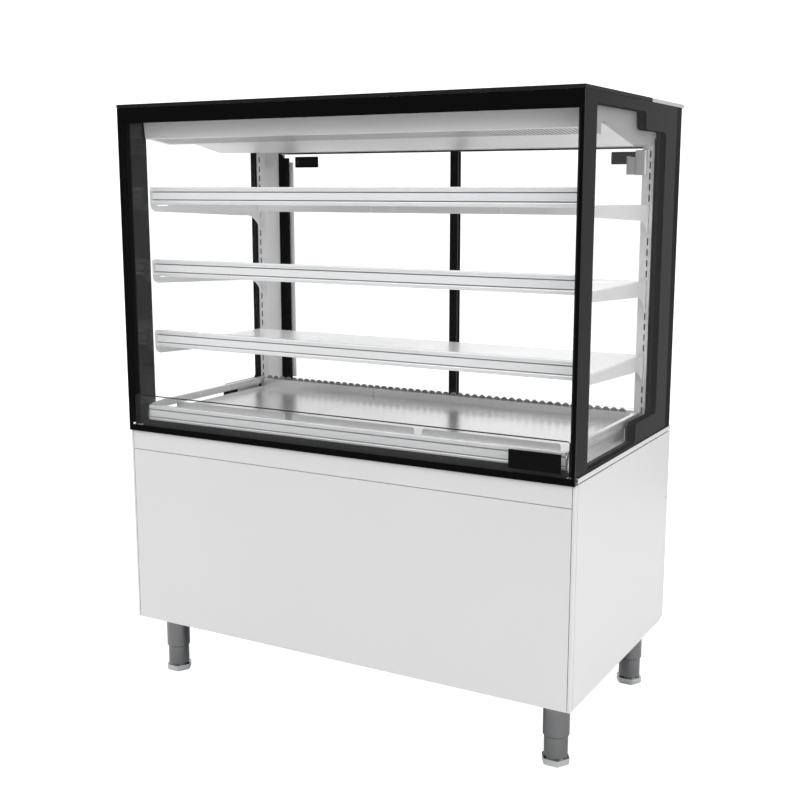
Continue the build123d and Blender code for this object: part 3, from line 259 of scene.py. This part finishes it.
def window_distance(tree, y, z, high_y, low_z, high_z):
    """Distance from a clear window with rounded rear corners, below 0 inside it.

    The window's front end lies far in front of the pane."""
    radius = WINDOW_CORNER_RADIUS
    reach_y = calc(tree, "ABSOLUTE", calc(tree, "SUBTRACT", y, (WINDOW_FRONT_Y + high_y) / 2))
    middle_z = calc(tree, "MULTIPLY", calc(tree, "ADD", low_z, high_z), 0.5)
    half_z = calc(tree, "SUBTRACT", high_z, middle_z)
    reach_z = calc(tree, "ABSOLUTE", calc(tree, "SUBTRACT", z, middle_z))
    over_y = calc(tree, "SUBTRACT", reach_y, (high_y - WINDOW_FRONT_Y) / 2 - radius)
    over_z = calc(tree, "SUBTRACT", reach_z, calc(tree, "SUBTRACT", half_z, radius))
    past_y = calc(tree, "MAXIMUM", over_y, 0.0)
    past_z = calc(tree, "MAXIMUM", over_z, 0.0)
    square = calc(tree, "ADD", calc(tree, "MULTIPLY", past_y, past_y), calc(tree, "MULTIPLY", past_z, past_z))
    inside = calc(tree, "MINIMUM", calc(tree, "MAXIMUM", over_y, over_z), 0.0)
    return calc(tree, "SUBTRACT", calc(tree, "ADD", calc(tree, "SQRT", square), inside), radius)


def side_border(node, front_width, rear_width, low_width):
    """Enamel round a side pane: wider at the rear of the top and bottom, with rounded steps."""
    low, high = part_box(node)

    def border(tree, x, y, z):
        on_right = calc(tree, "GREATER_THAN", x, 0.0)
        step_z = blend(tree, on_right, low.z + STEP_LOW_WIDTH_LEFT, low.z + STEP_LOW_WIDTH_RIGHT)
        rear = window_distance(tree, y, z, high.y - rear_width, step_z, high.z - STEP_TOP_WIDTH)
        forward = window_distance(tree, y, z, high.y - STEP_LENGTH, low.z + low_width,
                                  high.z - SIDE_TOP_WIDTH)
        window = calc(tree, "SMOOTH_MIN", rear, forward, STEP_ROUNDING)
        return either(tree,
                      calc(tree, "GREATER_THAN", window, 0.0),
                      calc(tree, "LESS_THAN", y, low.y + front_width))

    return border


# ---------------------------------------------------------------- painted light and shade by place

UPSTAND_TOP_Z = 0.724
TAB_SHADE_TONE = 0.28
POST_INNER_X = 0.547
POST_FRONT_DEPTH = 0.004
POST_SIDE_DEPTH = 0.001
POST_INSIDE_SHADE_TONE = 0.08
HOUSING_INSIDE_SHADE_TONE = 0.06
SLOT_WALL_SHADE_TONE = 0.45
PAD_TOP_Z = 0.015
PAD_TONE = 3.2


def scallop_shade_level(tree, x, y, z):
    """Painted shade: the tabs above the ledge's upstand are darkened in colour."""
    return ramp(tree, z, UPSTAND_TOP_Z - 0.0002, UPSTAND_TOP_Z + 0.0002, 1.0, TAB_SHADE_TONE)


def post_shade_level(tree, x, y, z):
    """Painted shade inside the slotted post, behind its front face."""
    low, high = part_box("slotted_posts")
    across = calc(tree, "ABSOLUTE", x)
    past_inner = calc(tree, "GREATER_THAN", across, POST_INNER_X)
    within_outer = calc(tree, "LESS_THAN", across, high.x - POST_SIDE_DEPTH)
    behind_front = calc(tree, "GREATER_THAN", y, low.y + POST_FRONT_DEPTH)
    inside = calc(tree, "MULTIPLY", calc(tree, "MULTIPLY", past_inner, within_outer), behind_front)
    return blend(tree, inside, 1.0, POST_INSIDE_SHADE_TONE)


def inward_shade_level(tree, x, y, z):
    """Painted shade on the side walls of the air slots, and on the faces inside the closed light housing."""
    normal = axes(tree, tree.nodes.new("ShaderNodeNewGeometry").outputs["True Normal"])
    inward = either(tree,
                    calc(tree, "GREATER_THAN", normal[2], 0.3),
                    calc(tree, "GREATER_THAN", normal[1], 0.3))
    wall = calc(tree, "GREATER_THAN", calc(tree, "ABSOLUTE", normal[0]), 0.7)
    return blend(tree, inward, blend(tree, wall, 1.0, SLOT_WALL_SHADE_TONE), HOUSING_INSIDE_SHADE_TONE)


def foot_painted_reflection_level(tree, x, y, z):
    """Pad brighter than the tube and shank, whose colour is darkened as a painted dark reflection."""
    return ramp(tree, z, PAD_TOP_Z - 0.001, PAD_TOP_Z + 0.001, PAD_TONE, 1.0)


# ---------------------------------------------------------------- materials

paint = surface("satin_powder_coat", (0.665, 0.665, 0.668), 0.42, grain=1100.0, grain_depth=0.012,
                grain_bump=0.00003, patch=2.0, patch_share=0.012)
header_steel = brushed("header_stainless_x", (0.94, 0.94, 0.94), 0.34, "X", metallic=0.2)
ledge_steel = brushed("ledge_stainless_x", (0.90, 0.90, 0.90), 0.32, "X", metallic=0.3, level=scallop_shade_level)
deck_steel = brushed("deck_stainless_x", (0.84, 0.84, 0.84), 0.32, "X", metallic=0.45)
tray_steel = brushed("tray_stainless_y", (0.84, 0.84, 0.845), 0.22, "Y", metallic=0.72)
shelf_steel = brushed("shelf_stainless_y", (0.95, 0.95, 0.955), 0.25, "Y", depth=0.03, metallic=0.25)
bracket = brushed("bracket_steel_z", (0.90, 0.90, 0.905), 0.32, "Z", metallic=0.28)
post_steel = brushed("post_steel_z", (0.90, 0.90, 0.905), 0.32, "Z", metallic=0.28, level=post_shade_level)
side_rail = brushed("side_rail_steel_y", (0.80, 0.80, 0.805), 0.32, "Y", metallic=0.6)
rail = brushed("rail_aluminium_x", (0.94, 0.945, 0.95), 0.26, "X", depth=0.03, metallic=0.22)
# Darker colour for the rails' groove floors: painted shade.
groove_shade = brushed("rail_groove_shade_x", (0.30, 0.33, 0.35), 0.4, "X", depth=0.03, metallic=0.3)
canopy = brushed("canopy_aluminium_x", (0.96, 0.96, 0.965), 0.33, "X", depth=0.03, metallic=0.15,
                 level=inward_shade_level)
end_steel = brushed("canopy_end_steel_y", (0.50, 0.50, 0.505), 0.36, "Y", metallic=0.3)
cover_steel = brushed("cover_steel_z", (0.62, 0.62, 0.625), 0.34, "Z", metallic=0.4)
pull = brushed("pull_aluminium_z", (0.88, 0.885, 0.89), 0.28, "Z", depth=0.03, metallic=0.45)
cap = brushed("cap_aluminium_x", (0.66, 0.66, 0.67), 0.38, "X", metallic=0.5)
# The polished steel's colour is darkened to paint the dark reflections of its surroundings.
polished = surface("polished_stainless_painted_dark_reflection", (0.19, 0.192, 0.195), 0.16, 1.0, grain=(900.0, 900.0, 40.0),
                   grain_depth=0.05, grain_bump=0.000006, patch=12.0, level=foot_painted_reflection_level)
frame_steel = surface("galvanised_steel", (0.30, 0.31, 0.32), 0.45, 0.8, grain=120.0, grain_depth=0.14,
                      patch=20.0, patch_share=0.08)
insert = surface("insert_strip", (0.84, 0.85, 0.86), 0.34, grain=900.0, grain_depth=0.02)
black = surface("satin_black", (0.004, 0.004, 0.0042), 0.4, grain=1300.0, grain_depth=0.1, grain_bump=0.00004,
                specular=0.05)
roof = surface("roof_black_coat", (0.010, 0.010, 0.011), 0.36, grain=1500.0, grain_depth=0.08, specular=0.15)
lamp = surface("lamp_cover_frosted", (0.90, 0.89, 0.86), 0.5, grain=500.0, grain_depth=0.02)
motor = surface("motor_coat", (0.055, 0.055, 0.06), 0.5, grain=400.0, grain_depth=0.1, grain_bump=0.0001)
element = surface("element_sheath", (0.26, 0.235, 0.22), 0.45, 0.85, grain=300.0, grain_depth=0.2, patch=30.0,
                  patch_share=0.2)
badge = surface("badge_gloss_black", (0.002, 0.002, 0.002), 0.15, grain=1500.0, grain_depth=0.1,
                specular=0.12)
cord = surface("cord_rubber", (0.014, 0.014, 0.014), 0.62, grain=900.0, grain_depth=0.15, grain_bump=0.0001)
screw = surface("zinc_screw", (0.66, 0.66, 0.65), 0.28, 1.0, grain=1600.0, grain_depth=0.08)
dark_panel = surface("dark_panel_coat", (0.022, 0.022, 0.023), 0.45, grain=1200.0, grain_depth=0.1)
front_pane = pane_material("front_glass_enamelled", "Y", front_border, gloss=0.3)
outer_pane = pane_material("side_glass_outer_enamelled", "X",
                           side_border("side_glass_outer", 0.0645, 0.0825, 0.0025), strength=0.35, gloss=0.2)
inner_pane = pane_material("side_glass_inner_enamelled", "X",
                           side_border("side_glass_inner", 0.0565, 0.0955, 0.006), strength=0.35,
                           enamel=(0.02, 0.02, 0.0202))
door_pane = pane_material("door_glass_clear", "Y", None, edge=(0.03, 0.034, 0.033), strength=0.8)
guard_pane = pane_material("guard_clear", "Y", guard_border, edge=(0.012, 0.012, 0.012), strength=0.6,
                           haze=0.012, gloss=0.3, enamel=(0.02, 0.02, 0.02))

finish_of = {
    paint: ["front_panel", "front_fascia", "side_panel_left", "side_panel_right", "corner_trims",
            "rear_control_fascia", "rear_service_panel", "deck_rails"],
    frame_steel: ["base_frame", "cabinet_floor", "heat_well", "fan_rotor"],
    polished: ["leg_tubes", "foot_front_left", "foot_front_right", "foot_rear_left", "foot_rear_right"],
    screw: ["cover_screws"],
    black: ["controller_body", "power_rocker", "light_rocker", "glazing_spacers", "rear_jambs", "door_tracks",
            "door_left_stiles", "door_right_stiles"],
    cord: ["power_cord"],
    dark_panel: ["front_inner_panel"],
    header_steel: ["canopy_ceiling", "rear_header"],
    end_steel: ["canopy_ends"],
    cover_steel: ["sensor_cover"],
    ledge_steel: ["air_ledge"],
    deck_steel: ["deck_plate"],
    tray_steel: ["tray_left", "tray_centre", "tray_right"],
    guard_pane: ["front_guard"],
    motor: ["fan_motor"],
    element: ["heating_element"],
    front_pane: ["front_glass"],
    outer_pane: ["side_glass_outer"],
    inner_pane: ["side_glass_inner"],
    door_pane: ["door_left_glass", "door_right_glass"],
    roof: ["roof_plate"],
    cap: ["roof_rear_cap"],
    rail: ["ticket_rails"],
    canopy: ["canopy_housing", "air_slot_strip"],
    lamp: ["led_lamp"],
    bracket: ["pillar_covers", "shelf_brackets"],
    post_steel: ["slotted_posts"],
    side_rail: ["base_side_rails"],
    pull: ["door_left_pull", "door_right_pull"],
    shelf_steel: ["shelf_plates"],
    insert: ["ticket_inserts"],
    badge: ["badge_plate"],
}
for material, node_names in finish_of.items():
    for name in node_names:
        mesh = nodes[name].data
        mesh.materials.clear()
        mesh.materials.append(material)

# The sill track is bare steel and the upper guide is black.
BETWEEN_TRACKS_Z = 1.0

track_mesh = nodes["door_tracks"].data
track_mesh.materials.append(ledge_steel)
for polygon in track_mesh.polygons:
    polygon.material_index = 1 if polygon.center.z < BETWEEN_TRACKS_Z else 0

# Painted shade: the rails' groove floors get a darker material; those of the deck rail and of the shelf rails
# lie at different depths.
GROOVE_FLOORS_Y = (-0.2545, -0.2925)
GROOVE_REACH_Y = 0.001

ticket_mesh = nodes["ticket_rails"].data
ticket_mesh.materials.append(groove_shade)
for polygon in ticket_mesh.polygons:
    in_groove = any(low < polygon.center.y < low + GROOVE_REACH_Y for low in GROOVE_FLOORS_Y)
    polygon.material_index = 1 if in_groove else 0


# ---------------------------------------------------------------- door labels

LABEL_WIDTH = 0.079
LABEL_LOW_Z = 1.3195
LABEL_HIGH_Z = 1.3500
LABEL_DEPTH = 0.0006
LABEL_CORNER_RADIUS = 0.003
LABEL_BEVEL = 0.0002
CORNER_STEPS = 5
ARROW_OFFSET = 0.029
ARROW_HALF_HEIGHT = 0.008
ARROW_TIP = 0.004
ARROW_TAIL = -0.002
ARROW_STROKE = 0.0025
ARROW_DEPTH = 0.0002
ARROW_BEVEL = 0.00003


def solid_from_outline(name, outline, front_y, depth, material, body, bevel):
    """Flat solid with the (x, z) outline, its front face at front_y."""
    mesh = bpy.data.meshes.new(name)
    shape = bmesh.new()
    face = shape.faces.new([shape.verts.new((x, front_y, z)) for x, z in outline])
    extruded = bmesh.ops.extrude_face_region(shape, geom=[face])
    moved = [item for item in extruded["geom"] if isinstance(item, bmesh.types.BMVert)]
    bmesh.ops.translate(shape, verts=moved, vec=(0, depth, 0))
    bmesh.ops.recalc_face_normals(shape, faces=shape.faces)
    shape.to_mesh(mesh)
    shape.free()
    mesh.materials.append(material)
    solid = bpy.data.objects.new(name, mesh)
    bpy.context.scene.collection.objects.link(solid)
    modifier = solid.modifiers.new("edge", "BEVEL")
    modifier.width = bevel
    modifier.segments = 2
    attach(solid, body)


def rounded_rectangle(low_x, high_x, low_z, high_z, radius):
    corners = [(high_x - radius, high_z - radius, 0), (low_x + radius, high_z - radius, 90),
               (low_x + radius, low_z + radius, 180), (high_x - radius, low_z + radius, 270)]
    points = []
    for centre_x, centre_z, start in corners:
        for step in range(CORNER_STEPS + 1):
            angle = math.radians(start + 90 * step / CORNER_STEPS)
            points.append((centre_x + radius * math.cos(angle), centre_z + radius * math.sin(angle)))
    return points


def arrow_head(middle_x, middle_z, points_to):
    """Outline of a plain arrow head that points along X to the side given by points_to."""
    profile = [(ARROW_TIP, 0.0), (ARROW_TAIL, ARROW_HALF_HEIGHT),
               (ARROW_TAIL - ARROW_STROKE, ARROW_HALF_HEIGHT), (ARROW_TIP - ARROW_STROKE, 0.0),
               (ARROW_TAIL - ARROW_STROKE, -ARROW_HALF_HEIGHT), (ARROW_TAIL, -ARROW_HALF_HEIGHT)]
    return [(middle_x + points_to * x, middle_z + z) for x, z in profile]


label_ink = surface("label_print", (0.035, 0.035, 0.035), 0.5, grain=900.0, grain_depth=0.05)
label_black = surface("label_black", (0.003, 0.003, 0.003), 0.4, grain=900.0, grain_depth=0.15, specular=0.1)
for body, low_x, points_to in (("door_left", -0.5095, -1), ("door_right", 0.4305, 1)):
    plate_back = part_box(body + "_glass")[0].y
    plate_front = plate_back - LABEL_DEPTH
    plate = rounded_rectangle(low_x, low_x + LABEL_WIDTH, LABEL_LOW_Z, LABEL_HIGH_Z, LABEL_CORNER_RADIUS)
    solid_from_outline(body + "_label", plate, plate_front, LABEL_DEPTH, label_black, body, LABEL_BEVEL)
    arrow_x = low_x + LABEL_WIDTH / 2 + points_to * ARROW_OFFSET
    arrow = arrow_head(arrow_x, (LABEL_LOW_Z + LABEL_HIGH_Z) / 2, points_to)
    solid_from_outline(body + "_arrow", arrow, plate_front - ARROW_DEPTH, ARROW_DEPTH, label_ink, body,
                       ARROW_BEVEL)


# ---------------------------------------------------------------- lights, floor and camera

WHITE = (1, 1, 1, 1)
BACKDROP_LEVEL = 1.35
FLOOR_HALF_X = 3.0
FLOOR_HALF_Y = 2.2
FLOOR_GLOW = 1.3
FLOOR_GLOW_SHARE = 0.80
CAMERA_PLACE = (1.4355, -2.5478, 1.2589)
CAMERA_TILT_DOWN = 10.162
CAMERA_TURN = 29.389
CAMERA_LENS = 52.91
CAMERA_SENSOR = 36.0


def area_light(name, place, target, width, height, power):
    light = bpy.data.lights.new(name, "AREA")
    light.shape = "RECTANGLE"
    light.size = width
    light.size_y = height
    light.energy = power
    lamp_object = bpy.data.objects.new(name, light)
    lamp_object.location = place
    lamp_object.rotation_euler = (Vector(target) - Vector(place)).to_track_quat("-Z", "Y").to_euler()
    lamp_object.visible_camera = False
    bpy.context.scene.collection.objects.link(lamp_object)


def studio_world():
    """White backdrop for the camera; light that varies with direction for everything else."""
    world = bpy.data.worlds.new("studio")
    bpy.context.scene.world = world
    world.use_nodes = True
    tree = world.node_tree
    tree.nodes.clear()
    direction = axes(tree, tree.nodes.new("ShaderNodeTexCoord").outputs["Generated"])
    rear = ramp(tree, direction[1], -0.35, 0.45, 0.0, 1.0)
    above = ramp(tree, direction[2], 0.10, 0.32, 0.0, 1.0)
    rear_level = ramp(tree, direction[0], -0.15, 0.25, 1.0, 0.36)
    front_level = ramp(tree, direction[0], -0.25, 0.20, 0.10, 0.9)
    low_tone = blend(tree, rear, front_level, rear_level)
    high_tone = ramp(tree, rear, 0.0, 1.0, 0.8, 1.0, smooth=False)
    tone = blend(tree, above, low_tone, high_tone)
    seen = tree.nodes.new("ShaderNodeLightPath").outputs["Is Camera Ray"]
    around = add(tree, "ShaderNodeBackground", {"Color": WHITE, "Strength": tone})
    backdrop = add(tree, "ShaderNodeBackground", {"Color": WHITE, "Strength": BACKDROP_LEVEL})
    mix = add(tree, "ShaderNodeMixShader", {0: seen, 1: around.outputs[0], 2: backdrop.outputs[0]})
    add(tree, "ShaderNodeOutputWorld", {"Surface": mix.outputs[0]})


def floor():
    """Pale floor, partly glowing to the camera so that it reads as one with the backdrop."""
    mesh = bpy.data.meshes.new("studio_floor")
    corners = [(-FLOOR_HALF_X, -FLOOR_HALF_Y, 0), (FLOOR_HALF_X, -FLOOR_HALF_Y, 0),
               (FLOOR_HALF_X, FLOOR_HALF_Y, 0), (-FLOOR_HALF_X, FLOOR_HALF_Y, 0)]
    mesh.from_pydata(corners, [], [(0, 1, 2, 3)])
    plane = bpy.data.objects.new("studio_floor", mesh)
    bpy.context.scene.collection.objects.link(plane)
    material = new_material("pale_floor")
    tree = material.node_tree
    tone = shade(tree, (0.86, 0.86, 0.86), 0.01, noise(tree, 3.0))
    matt = add(tree, "ShaderNodeBsdfDiffuse", {"Color": tone})
    glow = add(tree, "ShaderNodeEmission", {"Color": WHITE, "Strength": FLOOR_GLOW})
    seen = tree.nodes.new("ShaderNodeLightPath").outputs["Is Camera Ray"]
    share = calc(tree, "MULTIPLY", seen, FLOOR_GLOW_SHARE)
    mix = add(tree, "ShaderNodeMixShader", {0: share, 1: matt.outputs[0], 2: glow.outputs[0]})
    output(tree, mix.outputs[0])
    mesh.materials.append(material)


studio_world()
floor()
area_light("top_front", (-0.6, -3.0, 3.4), (0, 0, 0.8), width=4.0, height=2.4, power=62)
area_light("side_right", (3.6, -0.6, 1.6), (0.6, 0, 0.8), width=2.4, height=2.8, power=31)
area_light("side_left", (-3.4, -0.8, 1.9), (-0.6, 0, 0.9), width=2.2, height=2.4, power=20)
area_light("rear_high", (0.0, 3.2, 3.0), (0, 0, 0.9), width=4.0, height=2.0, power=50)

camera = bpy.data.cameras.new("studio_camera")
camera.lens = CAMERA_LENS
camera.sensor_width = CAMERA_SENSOR
camera.clip_start = 0.05
camera.clip_end = 60.0
camera_object = bpy.data.objects.new("studio_camera", camera)
camera_object.location = CAMERA_PLACE
camera_object.rotation_euler = (math.radians(90 - CAMERA_TILT_DOWN), 0.0, math.radians(CAMERA_TURN))
bpy.context.scene.collection.objects.link(camera_object)
bpy.context.scene.camera = camera_object

bpy.context.scene.view_settings.view_transform = "Standard"
bpy.context.scene.cycles.transparent_max_bounces = 40
bpy.context.scene.cycles.use_denoising = True
